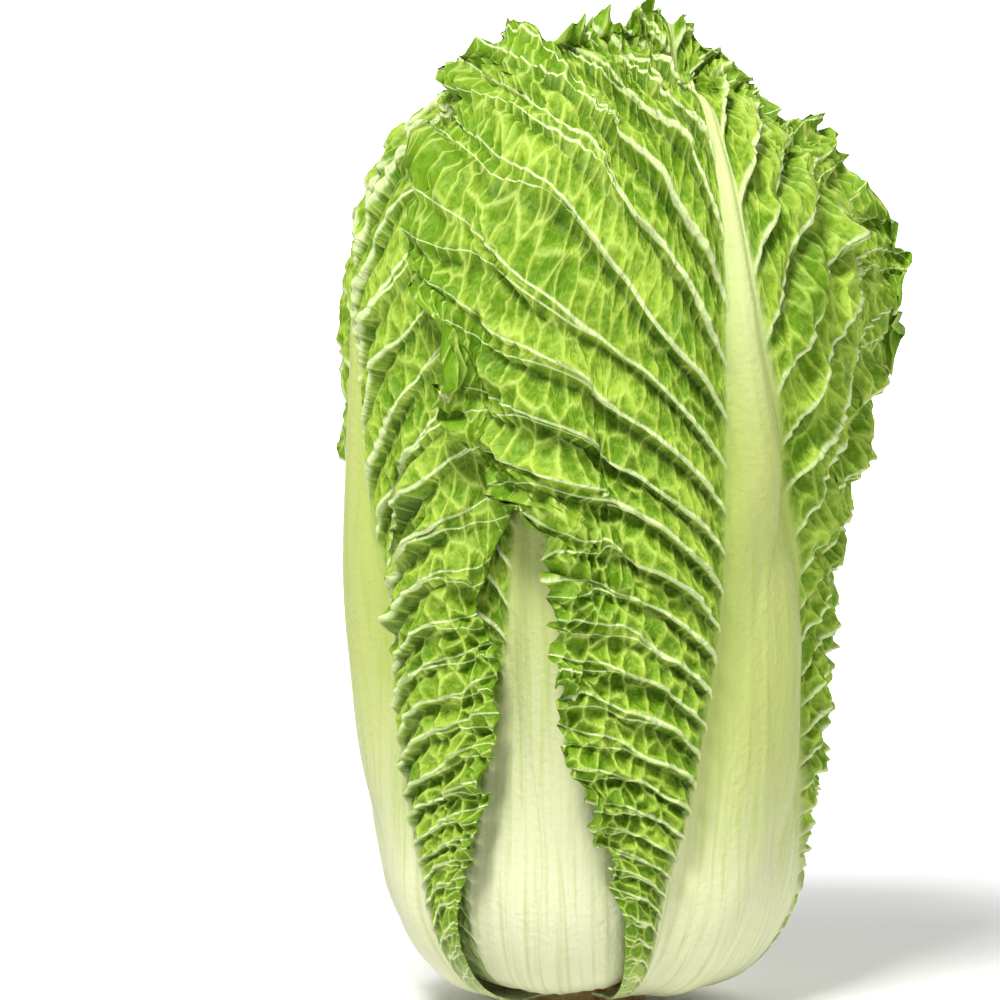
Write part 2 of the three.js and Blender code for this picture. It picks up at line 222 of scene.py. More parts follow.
def lift_of(index, angle, y):
    return sum((room(inner, angle, y) for inner in OUTER_LEAVES[index + 1:]), np.zeros_like(y))


def bareness(index, angle, y):
    """1 where no leaf lies over this one."""
    bare = np.ones_like(y)
    for outer in OUTER_LEAVES[:index]:
        bare = bare * (1 - cover(outer, angle, y))
    return bare


def round_the_axis(angle, across, radius, height, shift):
    """A point turned to an angle round the head's axis, and set aside from it by a second angle."""
    wrap = np.maximum(radius, TIGHTEST_WRAP)
    out = radius - wrap + wrap * np.cos(across)
    aside = wrap * np.sin(across)
    x = out * np.sin(angle) + aside * np.cos(angle) + shift
    y = aside * np.sin(angle) - out * np.cos(angle)
    return np.stack([x, y, height], axis=-1)


def on_head(angle, across, y, lift):
    """Where a place of the plan lies on the head."""
    radius, height, out_r, out_z = head_profile(y)
    lean = HEAD_LEAN * smooth(height + out_z * lift, *LEAN_HEIGHTS)
    return round_the_axis(angle, across, radius + out_r * lift, height + out_z * lift, lean)


front_lift = float(lift_of(0, np.array(0.0), np.array(120.0)))
print("at the front the outermost leaf is lifted by", round(front_lift, 1), "mm")

# %% [markdown]
# ## Veins
# Side veins leave the midrib in turn, left and right, crowded low down and wider apart higher up. Each
# climbs first and then turns out to the margin, and most of them fork on the way. They set the whole
# look of the leaf, so the mesh follows them: a row of the grid runs along each vein, and rows crowd
# together near it. Veins that were only painted on would leave the blade between them smooth.

# %% Where the veins are, in millimetres
VEIN_SPACING = 3.0
VEIN_SPREAD = 0.066
FIRST_VEIN = 30
VEIN_BEND = (0.34, 0.72)
VEIN_WANDER = 0.12  # of the way to the next vein
SPREAD_START = VEIN_SPACING / VEIN_SPREAD


def midrib_place(q):
    """How far up the midrib vein number q starts. A half number is midway between two veins."""
    return (FIRST_VEIN + SPREAD_START) * (1 + VEIN_SPREAD) ** q - SPREAD_START


def vein_number(start):
    return np.log((start + SPREAD_START) / (FIRST_VEIN + SPREAD_START)) / np.log(1 + VEIN_SPREAD)


def on_plan(leaf, start, along, side, wander):
    """A place of the flat leaf: along is 0 at the petiole's edge and 1 at the margin."""
    half = petiole_half_width(start) * leaf["petiole"]
    out = margin_out(start) * leaf["width"] * (1 + wander)
    up = margin_up(start) * (1 + wander)
    bend = 2 * (1 - along) * along
    x = half + (bend * VEIN_BEND[0] + along**2) * out
    y = start + (bend * VEIN_BEND[1] + along**2) * up
    return x * side, y


print("side veins on each side of a leaf:", int(vein_number(LEAF_LENGTH)))

# %% Soft waves for whatever a plant doesn't repeat exactly


def wobble(x, y, seed, octaves=2):
    """A smooth random surface with bumps about 1 unit long, between about -1 and 1."""
    rng = np.random.default_rng(int(seed * 1000))
    total = np.zeros(np.broadcast(x, y).shape)
    for octave in range(octaves):
        for _ in range(4):
            turn = rng.random() * np.pi
            rate = (0.6 + 0.8 * rng.random()) * 2**octave
            phase = rng.random()
            wave = np.sin(2 * np.pi * (rate * (np.cos(turn) * x + np.sin(turn) * y) + phase))
            total = total + wave / (3 * 1.7**octave)
    return total


print("a soft wave:", wobble(np.arange(5) / 4, 0, 1.0).round(2).tolist())

# %% [markdown]
# ## A leaf's mesh
# A leaf starts as a flat grid. Extruding the grid gives the second face and the rim in one go, so the
# leaf is a closed thin solid with no seam to mend. Each vertex remembers its row and column, and then
# every vertex is moved to its place on the head. Working in the plan keeps the veins, folds and petiole
# where they belong however the leaf is bent.

# %% A closed sheet whose vertices remember their row and column


def closed_sheet(name, rows, columns):
    bm = bmesh.new()
    bmesh.ops.create_grid(bm, x_segments=columns, y_segments=rows, size=0.5)
    row = bm.verts.layers.float.new("row")
    column = bm.verts.layers.float.new("column")
    face = bm.verts.layers.float.new("face")
    for v in bm.verts:
        v[row] = round((v.co.y + 0.5) * rows)
        v[column] = round((v.co.x + 0.5) * columns)
    extruded = bmesh.ops.extrude_face_region(bm, geom=bm.faces[:] + bm.edges[:], use_keep_orig=True)
    for v in extruded["geom"]:
        if isinstance(v, bmesh.types.BMVert):
            v[face] = 1
            v.co.z += 0.1
    bmesh.ops.recalc_face_normals(bm, faces=bm.faces[:])
    mesh = bpy.data.meshes.new(name)
    bm.to_mesh(mesh)
    bm.free()
    return mesh


def read(mesh, name):
    values = np.empty(len(mesh.vertices), np.float32)
    mesh.attributes[name].data.foreach_get("value", values)
    return values


def write(mesh, name, values):
    attribute = mesh.attributes.get(name) or mesh.attributes.new(name, "FLOAT", "POINT")
    attribute.data.foreach_set("value", np.asarray(values, np.float32))


def fill_sheet(mesh, base, normal, inner, outer, plan, values):
    """Give a closed sheet its shape and values. All of them are arrays by row and column."""
    row = read(mesh, "row").astype(int)
    column = read(mesh, "column").astype(int)
    face = read(mesh, "face")
    height = np.where(face > 0.5, outer[row, column], inner[row, column])
    places = base[row, column] + normal[row, column] * height[:, None]
    mesh.vertices.foreach_set("co", (places * MM).astype(np.float32).ravel())
    corner = np.empty(len(mesh.loops), np.int32)
    mesh.loops.foreach_get("vertex_index", corner)
    layer = mesh.uv_layers.new(name="plan")
    layer.data.foreach_set("uv", plan[row, column][corner].astype(np.float32).ravel())
    for name, grid in values.items():
        write(mesh, name, grid[row, column])
    outward = mesh.attributes.new("outward", "FLOAT_VECTOR", "POINT")
    outward.data.foreach_set("vector", normal[row, column].astype(np.float32).ravel())
    mesh.update()


def sheet_normals(base):
    """Outward normals of a smooth sheet given by row and column."""
    up, across = np.gradient(base, axis=(0, 1))
    normal = np.cross(across, up)
    return normal / np.maximum(np.linalg.norm(normal, axis=-1, keepdims=True), 1e-9)


# %% [markdown]
# ## Folds between the veins
# Seen from outside, a leaf goes up in steps. Each vein stands on the crest of a fold, and the blade right
# under it is drawn in deep, then rises again to the next vein down. The dark line under every vein comes
# from that, and a painted shadow in the colour makes it darker still. Towards the margin the folds give way
# to frills. They are shaped here as a height over the plan, so the blade can be deep between veins and
# still never cross the leaf under it.

# %% The blade's folds, in millimetres of height
FOLD_UNDER = 0.9  # where another leaf lies on the blade
FOLD_FREE = 4.3  # further height where none does
FOLD_BOTTOM = 0.84  # where the deepest place is, as a share of the way up to the next vein
UNDER_SIDE = 2.0  # the blade under a vein is so steep that this much more of it fits in the plan
VEIN_HEIGHT = (1.4, 0.5)  # at the midrib and at the margin
VEIN_WIDTH = (1.35, 0.55)
VEIN_CROWDING = 0.15  # of the way to the next vein, the most that one takes
FORK_PLACE = (0.42, 0.18)  # along the vein, and how far that varies
FORK_DROP = 0.52  # the branch ends this share of the way down to the next vein
FRILL_HEIGHT = 4.6
CRIMP_HEIGHT = 1.5  # the smaller waves of the margin
CURL_START = 0.84  # a free margin can curl outwards from here on
CURL_TURN = 2.4  # how far it turns at most, in radians
BLADE_THICKNESS = (1.3, 0.7)
PETIOLE_COLUMNS = 0.2  # the share of a leaf's columns that its petiole gets
FOOT_ROWS_PER_VEIN = 5  # rows of the grid from vein to vein, low down where they crowd


def step_profile(p):
    """The depth of a fold at a share p of the way up from one vein to the next."""
    rise = np.clip(p / FOLD_BOTTOM, 0, 1)
    bulge = 0.3 * np.sin(np.pi * rise)
    return rise**1.25 - bulge - smooth(p, FOLD_BOTTOM + 0.02, 0.99)


def shadow_under_vein(p):
    """Painted shadow: 1 in the dark line under a vein, and a part of that where the blade sinks towards it.
    """
    line = np.exp(-(((p - FOLD_BOTTOM) / 0.11) ** 2))
    sinking = smooth(p, 0.3, FOLD_BOTTOM) * (1 - smooth(p, FOLD_BOTTOM, 0.97))
    return np.maximum(line, 0.4 * sinking)


def vein_line(distance, along, gap, share=1.0):
    width = VEIN_WIDTH[0] + (VEIN_WIDTH[1] - VEIN_WIDTH[0]) * along
    width = np.minimum(width * (0.5 + 0.5 * share), VEIN_CROWDING * gap)
    height = VEIN_HEIGHT[0] + (VEIN_HEIGHT[1] - VEIN_HEIGHT[0]) * along
    return share * height * smooth(gap, 1, 4) * np.exp(-((distance / np.maximum(width, 0.05)) ** 2))


# %% Where a vein forks, the blade's fold forks with it


def folded_blade(q, p, along, gap, bare, number, seed):
    """Height of folds and veins, the painted shadow under each vein, and the place of the fork between two
    veins.
    """
    fork_start = FORK_PLACE[0] + FORK_PLACE[1] * np.sin(2.4 * number + seed)
    parted = np.clip((along - fork_start) / (1.08 - fork_start), 0, 1)
    fork = 1 - FORK_DROP * parted**1.2
    in_fork = np.where(p < fork, p / fork, (p - fork) / np.maximum(1 - fork, 1e-3))
    part = np.where(p < fork, fork, 1 - fork) ** 0.8
    profile = 1 - part * step_profile(in_fork)
    # Painted shadow: dark in the line under the vein, and partly where the blade sinks towards it.
    vein_shadow = part * shadow_under_vein(in_fork)
    size = (FOLD_UNDER + FOLD_FREE * bare) * np.clip(gap / 10, 0.1, 1.15)
    size = size * smooth(along, 0, 0.16) * (1 - 0.5 * smooth(along, 0.6, 1))
    size = size * (0.85 + 0.4 * wobble(along * 2.6, q * 0.83, seed))
    vein = vein_line(np.minimum(p, (1 - p) * UNDER_SIDE) * gap, along, gap)
    to_fork = np.where(p > fork, p - fork, (fork - p) * UNDER_SIDE) * gap
    branch = vein_line(to_fork, along, gap, 0.6) * smooth(parted, 0, 0.08)
    return size * profile, np.maximum(vein, branch) * smooth(along, -0.02, 0.05), vein_shadow, fork


print("depth from vein to vein:", step_profile(np.linspace(0, 1, 6)).round(2).tolist())

# %% [markdown]
# ## One outer leaf
# A leaf is worked out for its whole grid at once, as arrays by row and column. Each place needs only its
# vein's number and its share of the way along that vein. First comes the grid, then the margin, then the
# smooth sheet on the head, and last the heights of the two faces over it. Doing it in this order lets
# the margin curl off the head before any fold is added, so that the folds turn with it.

# %% A leaf's grid: rows follow the veins, columns cross them
GROWN_HEIGHTS = (12, 62)  # folds and teeth start between these
FRILLED_HEIGHTS = (12, 60)
CALM_HEIGHTS = (150, 245)  # and the teeth fade between these
CALM_SHARE = 0.85
SIDE_STEP = 9  # sets the random waves of the right half apart from those of the left


def leaf_grid(leaf, rows_per_vein, columns):
    first = vein_number(0)
    last = vein_number(LEAF_LENGTH)
    foot_rows = np.linspace(first, 0, round(-first * FOOT_ROWS_PER_VEIN), endpoint=False)
    blade_rows = np.linspace(0, last, round(last * rows_per_vein) + 1)
    q, column = np.meshgrid(np.r_[foot_rows, blade_rows], np.linspace(-1, 1, columns + 1), indexing="ij")
    side = np.where(column < 0, -1.0, 1.0)
    size = np.abs(column)
    along = np.clip((size - PETIOLE_COLUMNS) / (1 - PETIOLE_COLUMNS), 0, 1)
    q = q - 0.5 * np.sin(4 * np.pi * q) / (4 * np.pi)  # crowds the rows near each vein
    own_q = q + np.where(side > 0, 0.5, 0)
    number = np.floor(own_q)
    ends = smooth(q, first, first + 2.5) * (1 - smooth(q, last - 3, last))
    wander = wobble(q / 2.6 + SIDE_STEP * side, along * 1.6, leaf["seed"])
    wander = wander + 0.3 * wobble(q, along * 5 + SIDE_STEP * side, leaf["seed"] + 1)
    start = midrib_place(q + VEIN_WANDER * wander * ends * smooth(along, 0, 0.3))
    start = np.clip(start, 0, LEAF_LENGTH)
    return SimpleNamespace(
        rows=len(q) - 1, columns=columns, q=q, side=side, size=size, along=along, start=start,
        own_q=own_q, number=number, p=np.clip(own_q - number, 0, 1),
        in_petiole=size < PETIOLE_COLUMNS + 1e-6,
        half=petiole_half_width(start) * leaf["petiole"],
        grown=smooth(start, *GROWN_HEIGHTS),
        frilled=smooth(start, *FRILLED_HEIGHTS),
        calm=1 - CALM_SHARE * smooth(start, *CALM_HEIGHTS),
    )


coarse_grid = leaf_grid(OUTER_LEAVES[0], 2, 10)
print("rows and columns of a coarse grid:", coarse_grid.rows, coarse_grid.columns)

# %% The margin's lobes, teeth, notch and curls, in millimetres and shares
LOBE_LENGTH = 24
LOBE_DEPTH = 0.05
TOOTH_LENGTH = 6.5
TOOTH_DEPTH = 1.5
TOOTHED_REACH = 28  # a blade narrower than this has no bigger teeth for its size
CURL_LENGTH = 26
FLARE_WIDTH = 24
MOST_CURL = 1.25


def uneven_margin(leaf, grid):
    """How much wider the blade is than its plan, as a share."""
    reach = margin_out(grid.start) + 0.6 * margin_up(grid.start)
    lobes = wobble(grid.start / LOBE_LENGTH, SIDE_STEP * grid.side, leaf["seed"] + 2, octaves=1)
    teeth = wobble(grid.start / TOOTH_LENGTH, SIDE_STEP * grid.side, leaf["seed"] + 3, octaves=2)
    teeth = TOOTH_DEPTH * (grid.calm * teeth) / np.maximum(reach, TOOTHED_REACH)
    uneven = (LOBE_DEPTH * lobes + teeth) * smooth(grid.along, 0.4, 1) * grid.grown
    notch_side, notch_height, notch_depth = leaf.get("notch", NO_NOTCH)
    in_notch = np.exp(-(((grid.start - notch_height) / NOTCH_WIDTH) ** 2)) * (grid.side == notch_side)
    return uneven - notch_depth * in_notch * smooth(grid.along, 0.3, 1)


def margin_curl(leaf, grid):
    """How far a free margin turns outwards, where 1 is the most that waves alone give."""
    waves = wobble(grid.start / CURL_LENGTH, SIDE_STEP * grid.side, leaf["seed"] + 4, octaves=1)
    curl = np.clip(0.05 + 0.6 * waves, 0, 1) * grid.frilled
    flare = np.exp(-(((grid.start - leaf.get("flare", NO_FLARE)) / FLARE_WIDTH) ** 2)) * (grid.side > 0)
    return np.clip(curl + flare, 0, MOST_CURL)


print("most curl of the front leaf:", round(float(margin_curl(OUTER_LEAVES[0], coarse_grid).max()), 2))

# %% The smooth sheet on the head
LEAST_TURN = 1e-3


def laid_out(index, grid, uneven, turned):
    """The sheet with its margins curled by a turn, how bare each place is, and its place on the plan."""
    leaf = OUTER_LEAVES[index]
    past = np.clip((grid.along - CURL_START) / (1 - CURL_START), 0, 1)
    share = np.sinc(turned * past / np.pi) * past
    bent = np.where(past > 0, CURL_START + (1 - CURL_START) * share, grid.along)
    width = (1 - CURL_START) * margin_out(grid.start) * leaf["width"] * 1.3
    off = width * (1 - np.cos(turned * past)) / np.maximum(turned, 1e-6)
    x, y = on_plan(leaf, grid.start, bent, grid.side, uneven)
    x = np.where(grid.in_petiole, grid.size / PETIOLE_COLUMNS * grid.half * grid.side, x)
    y = np.where(grid.in_petiole, grid.start, y)
    y = (y - leaf.get("skew", 0) * x * smooth(y, *SKEW_HEIGHTS)) * leaf["length"]
    across = x / wrap_radius(leaf, y)
    angle = midrib_azimuth(leaf, y)
    crest = leaf.get("crest", 0) * smooth(y, *CREST_HEIGHTS)
    lift = lift_of(index, angle + across, y) + crest + off
    return on_head(angle, across, y, lift), bareness(index, angle + across, y), x, y


def measured(base, grid):
    """Millimetres from the petiole's edge, and from each vein to the next."""
    run_along = np.linalg.norm(np.diff(base, axis=1, prepend=base[:, :1]), axis=-1)
    middle = grid.columns // 2
    edge_column = round(PETIOLE_COLUMNS * middle)
    length = np.cumsum(run_along, axis=1)
    right_run = length - length[:, [middle + edge_column]]
    left_run = length[:, [middle - edge_column]] - length
    run = np.maximum(np.where(grid.side > 0, right_run, left_run), 0)
    up_step, side_step = np.gradient(base, axis=(0, 1))
    up_size = np.linalg.norm(up_step, axis=-1)
    side_size = np.linalg.norm(side_step, axis=-1)
    steep = np.sum(up_step * side_step, axis=-1) / np.maximum(up_size * side_size, 1e-9)
    gap = up_size / np.maximum(np.gradient(grid.q, axis=0), 1e-6)
    return run, gap * np.sqrt(np.clip(1 - steep**2, 0.02, 1))


# %% The two faces of the leaf
FRILL_LENGTH = 13
CRIMP_LENGTH = 5
STALK_RIB_HEIGHT = 0.25
STALK_RIB_WIDTH = 7
STALK_RIB_LENGTH = 400
RIB_FADE = 3.2  # how far the midrib's pale colour runs out into the blade
RIB_END = (205, 262)
MIDRIB_GREENING = (240, 290)
OTHER_SIDE = 31  # so many vein numbers on, the random folds are others


def margin_frill(leaf, grid, bare):
    waves = wobble(grid.start / FRILL_LENGTH, grid.side, leaf["seed"] + 6)
    broad = FRILL_HEIGHT * smooth(grid.along, 0.55, 1) ** 2 * (0.45 + 0.75 * waves)
    ripple = wobble(grid.start / CRIMP_LENGTH, SIDE_STEP * grid.side + grid.along * 3, leaf["seed"] + 8)
    tight = CRIMP_HEIGHT * smooth(grid.along, 0.78, 1) * ripple
    lively = 1 + leaf.get("lively", 0) * (grid.side < 0)
    return bare * grid.frilled * lively * np.maximum(broad + grid.calm * tight, 0)


def stalk_dome(leaf, grid, x):
    """The petiole's round back, with its fine ribs."""
    dome = np.maximum(0, 1 - (x / grid.half) ** 2) * petiole_thickness(grid.start) * leaf["petiole"]
    ribs = wobble(x / STALK_RIB_WIDTH, grid.start / STALK_RIB_LENGTH, leaf["seed"] + 7)
    return np.where(grid.in_petiole, dome + STALK_RIB_HEIGHT * ribs * np.clip(dome / 3, 0, 1), 0)


def outer_leaf(index, rows_per_vein, columns):
    leaf = OUTER_LEAVES[index]
    grid = leaf_grid(leaf, rows_per_vein, columns)
    along = grid.along
    blade = np.where(grid.in_petiole, 0.0, 1.0)
    uneven = uneven_margin(leaf, grid)
    _, bare, x, y = laid_out(index, grid, uneven, np.full_like(along, LEAST_TURN))
    turned = np.maximum(CURL_TURN * margin_curl(leaf, grid) * bare, LEAST_TURN)
    base, _, _, _ = laid_out(index, grid, uneven, turned)
    run, gap = measured(base, grid)

    other = OTHER_SIDE * grid.side
    fold, vein, vein_shadow, fork = folded_blade(
        grid.q + other, grid.p, along, gap, bare, grid.number + other, leaf["seed"] + 5
    )
    inner = blade * (fold * grid.grown + margin_frill(leaf, grid, bare))
    thickness = BLADE_THICKNESS[0] + (BLADE_THICKNESS[1] - BLADE_THICKNESS[0]) * along
    outer = inner + np.maximum(stalk_dome(leaf, grid, x), thickness) + blade * (vein * grid.grown)

    midrib = 1 - 0.35 * smooth(grid.start, *MIDRIB_GREENING)
    beside = np.exp(-run / RIB_FADE) * (1 - 0.9 * smooth(grid.start, *RIB_END))
    freedom = (0.35 + 0.65 * bare) * (0.6 + 0.6 * smooth(along, 0.3, 1))
    values = {
        "rib": np.where(grid.in_petiole, midrib, beside),
        "along": along,
        "gap": gap,
        "fork": fork,
        "stripe": x / STALK_RIB_WIDTH,
        "stalk_side": np.abs(x) / grid.half,
        "climb": y * leaf.get("greening", 1),
        # The painted shadow under each vein, which the colour turns dark green.
        "shadow_under_vein": blade * vein_shadow * smooth(along, 0, 0.12) * (1 - 0.5 * along),
        "relief": blade * smooth(run, 1.5, 8) * freedom * grid.grown,
    }
    plan = np.stack([run, grid.own_q + 40], axis=-1)
    mesh = closed_sheet(f"leaf_{index + 1}", grid.rows, grid.columns)
    fill_sheet(mesh, base, sheet_normals(base), inner, outer, plan, values)
    return mesh


# %% [markdown]
# ## The net of fine veins
# Between two side veins runs a net of finer ones, and the blade sinks into a small pocket in each of its
# meshes. The edges of Voronoi cells make such a net. Geometry nodes have the same Voronoi texture as the
# shader, so one set of numbers both presses the pockets into the mesh and draws the pale lines between
# them, and the two agree everywhere. Painting the net in the colour alone would look flat from the side.

# %% The net's numbers
NET_CELL = 5.0  # millimetres along a vein
NET_ROWS = 1.45  # cells between two veins
NET_RANDOMNESS = 0.9
NET_WARP = 0.22
POCKET_DEPTH = 2.3 * MM
POCKET_EDGE = (0.03, 0.3)  # between these, in cells from a line, the blade drops into the pocket
CRUMPLE_HEIGHT = 1.5 * MM
CRUMPLE_SCALE = 105  # per metre
print("a net cell is", NET_CELL, "mm long")


def node(tree, kind, operation=None, inputs=(), links=()):
    """A new node with some of its sockets set and some linked."""
    made = tree.nodes.new(kind)
    if operation:
        made.operation = operation
    for socket, value in inputs:
        made.inputs[socket].default_value = value
    for socket, source in links:
        tree.links.new(source, made.inputs[socket])
    return made


def net_coordinates(tree, plan):
    """The plan's coordinates, scaled so that one net cell is one unit, and stirred a little."""
    scale = (1 / NET_CELL, NET_ROWS, 0)
    scaled = node(tree, "ShaderNodeVectorMath", "MULTIPLY", [(1, scale)], [(0, plan)]).outputs[0]
    stir = node(tree, "ShaderNodeTexNoise", None, [("Scale", 0.7), ("Detail", 2.0)], [("Vector", scaled)])
    colour_out = stir.outputs["Color"]
    centred = node(tree, "ShaderNodeVectorMath", "SUBTRACT", [(1, (0.5, 0.5, 0.5))], [(0, colour_out)])
    warp = (2 * NET_WARP, 2 * NET_WARP, 0)
    shift = node(tree, "ShaderNodeVectorMath", "MULTIPLY", [(1, warp)], [(0, centred.outputs[0])])
    return node(tree, "ShaderNodeVectorMath", "ADD", links=[(0, scaled), (1, shift.outputs[0])]).outputs[0]


def net_texture(tree, coordinates, scale=1.0):
    """Distance to the nearest line of the net, in cells."""
    net = node(tree, "ShaderNodeTexVoronoi")
    net.voronoi_dimensions = "2D"
    net.feature = "DISTANCE_TO_EDGE"
    net.inputs["Scale"].default_value = scale
    net.inputs["Randomness"].default_value = NET_RANDOMNESS
    tree.links.new(coordinates, net.inputs["Vector"])
    return net.outputs["Distance"]


# %% Geometry nodes that press the pockets in


def named_attribute(tree, name, data_type="FLOAT"):
    made = tree.nodes.new("GeometryNodeInputNamedAttribute")
    made.data_type = data_type
    made.inputs["Name"].default_value = name
    return made.outputs["Attribute"]


def pocket_tree():
    tree = bpy.data.node_groups.new("press_pockets", "GeometryNodeTree")
    tree.interface.new_socket("Geometry", in_out="INPUT", socket_type="NodeSocketGeometry")
    tree.interface.new_socket("Geometry", in_out="OUTPUT", socket_type="NodeSocketGeometry")
    start = tree.nodes.new("NodeGroupInput")
    end = tree.nodes.new("NodeGroupOutput")
    edge = net_texture(tree, net_coordinates(tree, named_attribute(tree, "plan", "FLOAT_VECTOR")))
    drop = [(1, POCKET_EDGE[0]), (2, POCKET_EDGE[1]), (4, -POCKET_DEPTH)]
    pocket = node(tree, "ShaderNodeMapRange", inputs=drop, links=[(0, edge)])
    pocket.interpolation_type = "SMOOTHSTEP"
    place = tree.nodes.new("GeometryNodeInputPosition").outputs[0]
    settings = [("Scale", CRUMPLE_SCALE), ("Detail", 2.0)]
    crumple = node(tree, "ShaderNodeTexNoise", None, settings, [("Vector", place)]).outputs[0]
    swell = node(tree, "ShaderNodeMath", "MULTIPLY_ADD", [(1, CRUMPLE_HEIGHT), (2, -CRUMPLE_HEIGHT / 2)],
                 [(0, crumple)])
    height = node(tree, "ShaderNodeMath", "ADD", links=[(0, pocket.outputs[0]), (1, swell.outputs[0])])
    relief = named_attribute(tree, "relief")
    height = node(tree, "ShaderNodeMath", "MULTIPLY", links=[(0, height.outputs[0]), (1, relief)])
    outward = named_attribute(tree, "outward", "FLOAT_VECTOR")
    offset = node(tree, "ShaderNodeVectorMath", "SCALE", links=[(0, outward), ("Scale", height.outputs[0])])
    moves = [("Geometry", start.outputs[0]), ("Offset", offset.outputs[0])]
    moved = node(tree, "GeometryNodeSetPosition", links=moves)
    tree.links.new(moved.outputs[0], end.inputs[0])
    return tree


press_pockets = pocket_tree()
print("nodes that press the pockets:", len(press_pockets.nodes))


def with_pockets(mesh):
    """The mesh with the net pressed into it, as a finished object."""
    piece = bpy.data.objects.new(mesh.name, mesh)
    bpy.context.scene.collection.objects.link(piece)
    piece.modifiers.new("net", "NODES").node_group = press_pockets
    graph = bpy.context.evaluated_depsgraph_get()
    finished = bpy.data.meshes.new_from_object(piece.evaluated_get(graph), depsgraph=graph)
    piece.modifiers.clear()
    piece.data = finished
    bpy.data.meshes.remove(mesh)
    finished.shade_smooth()
    return piece


# %% [markdown]
# ## Colours
# A leaf is nearly white at its foot, where the stalk is thick and light hardly reaches, a clear yellow
# green on the blade, and a deeper green on its frilled margin. Veins stay pale all the way. Painted shade
# goes in too: a dark green shadow under each vein, and a darker green in the pockets of the net. One
# material serves every leaf, because all of that follows from a place's part in the leaf, which the mesh
# holds.

# %% The colours, as red, green and blue between 0 and 255


def colour(red, green, blue):
    """A colour as a screen shows it, turned into the linear one that a shader takes."""
    channels = (c / 255 for c in (red, green, blue))
    return (*(c / 12.92 if c <= 0.04045 else ((c + 0.055) / 1.055) ** 2.4 for c in channels), 1)


STALK_FOOT = colour(229, 230, 193)
STALK_MIDDLE = colour(188, 198, 118)
STALK_SIDE = colour(166, 190, 84)
BLADE_LIGHT = colour(166, 197, 64)
BLADE_DEEP = colour(98, 142, 12)
# A painted shadow: the dark green drawn under every vein.
PAINTED_SHADOW_GREEN = colour(36, 74, 0)
MARGIN_GREEN = colour(112, 158, 18)
VEIN_PALE = colour(226, 238, 176)
NET_PALE = colour(208, 228, 118)
HEART_PALE = colour(222, 230, 150)
print("a vein's colour in linear light:", [round(c, 3) for c in VEIN_PALE])

# %% The leaf material


def plug(tree, made, settings):
    """Set or link sockets, whichever a value asks for."""
    for socket, value in settings:
        if isinstance(value, bpy.types.NodeSocket):
            tree.links.new(value, made.inputs[socket])
        else:
            made.inputs[socket].default_value = value
    return made


def mix(tree, share, first, second):
    made = tree.nodes.new("ShaderNodeMix")
    made.data_type = "RGBA"
    return plug(tree, made, [(0, share), (6, first), (7, second)]).outputs[2]


def maths(tree, operation, *values):
    made = tree.nodes.new("ShaderNodeMath")
    made.operation = operation
    return plug(tree, made, list(enumerate(values))).outputs[0]


def ramp(tree, value, low, high, start=0.0, end=1.0):
    made = tree.nodes.new("ShaderNodeMapRange")
    made.interpolation_type = "SMOOTHSTEP"
    return plug(tree, made, [(0, value), (1, low), (2, high), (3, start), (4, end)]).outputs[0]


def attribute(tree, name):
    made = tree.nodes.new("ShaderNodeAttribute")
    made.attribute_name = name
    return made.outputs["Fac"]


def noise(tree, vector, scale, detail=2.0):
    made = tree.nodes.new("ShaderNodeTexNoise")
    return plug(tree, made, [("Vector", vector), ("Scale", scale), ("Detail", detail)]).outputs["Fac"]


VEIN_SHARE = 0.14


def vein_mask(tree, plan, along):
    """1 on a vein. The map's v counts veins, and the gap attribute turns it into millimetres."""
    v = node(tree, "ShaderNodeSeparateXYZ", links=[(0, plan)]).outputs[1]
    gap = attribute(tree, "gap")
    narrow = maths(tree, "MULTIPLY", gap, VEIN_SHARE)
    width = maths(tree, "MINIMUM", ramp(tree, along, 0.0, 1.0, 1.2, 0.45), narrow)
    above = maths(tree, "FRACT", v)
    below = maths(tree, "MULTIPLY", maths(tree, "SUBTRACT", 1.0, above), UNDER_SIDE)
    past_fork = maths(tree, "SUBTRACT", above, attribute(tree, "fork"))
    under_fork = maths(tree, "MULTIPLY", past_fork, -UNDER_SIDE)
    to_fork = maths(tree, "MULTIPLY", maths(tree, "MAXIMUM", past_fork, under_fork), 1.5)
    share = maths(tree, "MINIMUM", maths(tree, "MINIMUM", above, below), to_fork)
    distance = maths(tree, "MULTIPLY", share, gap)
    core = maths(tree, "MULTIPLY", width, 0.3)
    return maths(tree, "SUBTRACT", 1.0, ramp(tree, distance, core, width))


print("a vein is drawn over at most", VEIN_SHARE, "of the way up to the next")

# %% The blade: patches of two greens, painted shade in the net's pockets and a painted shadow under each vein, then the net and the veins over them


def blade_colour(tree, plan, along, patches_and_pocket_shade, net, fine):
    # Random patches of two greens; the deeper green also fills each pocket of the net as painted shade.
    blade = mix(tree, ramp(tree, patches_and_pocket_shade, 0.3, 0.58), BLADE_DEEP, BLADE_LIGHT)
    blade = mix(tree, ramp(tree, along, 0.7, 1.0, 0.0, 0.75), blade, MARGIN_GREEN)
    # Painted shadow under each vein.
    blade = mix(tree, maths(tree, "MULTIPLY", attribute(tree, "shadow_under_vein"), 0.95), blade, PAINTED_SHADOW_GREEN)
    blade = mix(tree, maths(tree, "MULTIPLY", fine, 0.08), blade, NET_PALE)
    coarse = maths(tree, "SUBTRACT", 1.0, ramp(tree, net, 0.01, 0.085))
    net_share = maths(tree, "MULTIPLY", coarse, ramp(tree, along, 0.0, 0.12))
    net_share = maths(tree, "MULTIPLY", net_share, ramp(tree, along, 0.2, 0.9, 0.25, 0.5))
    blade = mix(tree, net_share, blade, NET_PALE)
    past_petiole = ramp(tree, along, 0.0, 0.015, 0.0, 0.9)
    veins = maths(tree, "MULTIPLY", vein_mask(tree, plan, along), past_petiole)
    return mix(tree, veins, blade, VEIN_PALE)


